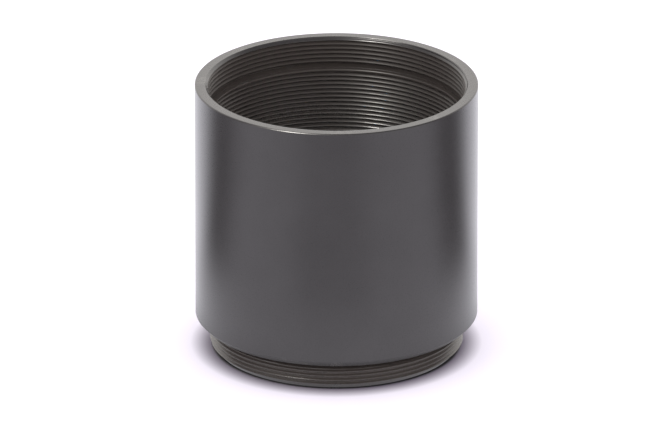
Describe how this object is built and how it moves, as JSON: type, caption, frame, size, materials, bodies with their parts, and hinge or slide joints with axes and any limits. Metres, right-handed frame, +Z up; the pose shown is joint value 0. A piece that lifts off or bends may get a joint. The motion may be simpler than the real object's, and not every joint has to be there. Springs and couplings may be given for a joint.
{
  "type": "barlow lens",
  "caption": "Black threaded tube, open at the top, with a ridged bore and a negative lens doublet in a cell that screws along the bore near the foot.",
  "frame": {"origin": "centre of the lower end face of the external thread, where the tube stands", "axes": "+Z up along the optical axis, from the external thread to the internal thread; +X through the spanner slots"},
  "size_m": [0.0466, 0.0466, 0.0458],
  "materials": {
    "tube_anodised": "satin black anodised",
    "cell_anodised": "matte black anodised",
    "spacer_aluminium": "bright rolled foil",
    "slip_brass": "fine turned",
    "seal_rubber": "matte",
    "crown_glass": "polished, with a green anti-reflection coating",
    "flint_glass": "polished, with a violet anti-reflection coating"
  },
  "bodies": {
    "tube": {"outer_tube": "tube_anodised"},
    "seal": {"dust_seal": "seal_rubber"},
    "cell": {"lens_cell": "cell_anodised", "crown_element": "crown_glass", "spacer_ring": "spacer_aluminium", "flint_element": "flint_glass", "cushion_ring": "seal_rubber", "retaining_ring": "cell_anodised"},
    "washer": {"slip_ring": "slip_brass"},
    "lock": {"lock_ring": "cell_anodised"}
  },
  "joints": [
    {"name": "cell_travel", "type": "slide", "parent": "tube", "child": "seal", "axis": [0, 0, 1], "range_m": [0, 0.01163]},
    {"name": "cell_screw", "type": "hinge", "parent": "seal", "child": "cell", "pos_m": [0, 0, 0.006], "axis": [0, 0, 1], "range_deg": [0, 5580]},
    {"name": "lock_travel", "type": "slide", "parent": "cell", "child": "washer", "axis": [0, 0, 1], "range_m": [0, 0.00113]},
    {"name": "lock_screw", "type": "hinge", "parent": "washer", "child": "lock", "pos_m": [0, 0, 0.021], "axis": [0, 0, 1], "range_deg": [0, 540]}
  ],
  "couplings": [
    {"joint": "cell_travel", "follows": "cell_screw", "m_per_rad": 0.00011937},
    {"joint": "lock_travel", "follows": "lock_screw", "m_per_rad": 0.00011937}
  ]
}
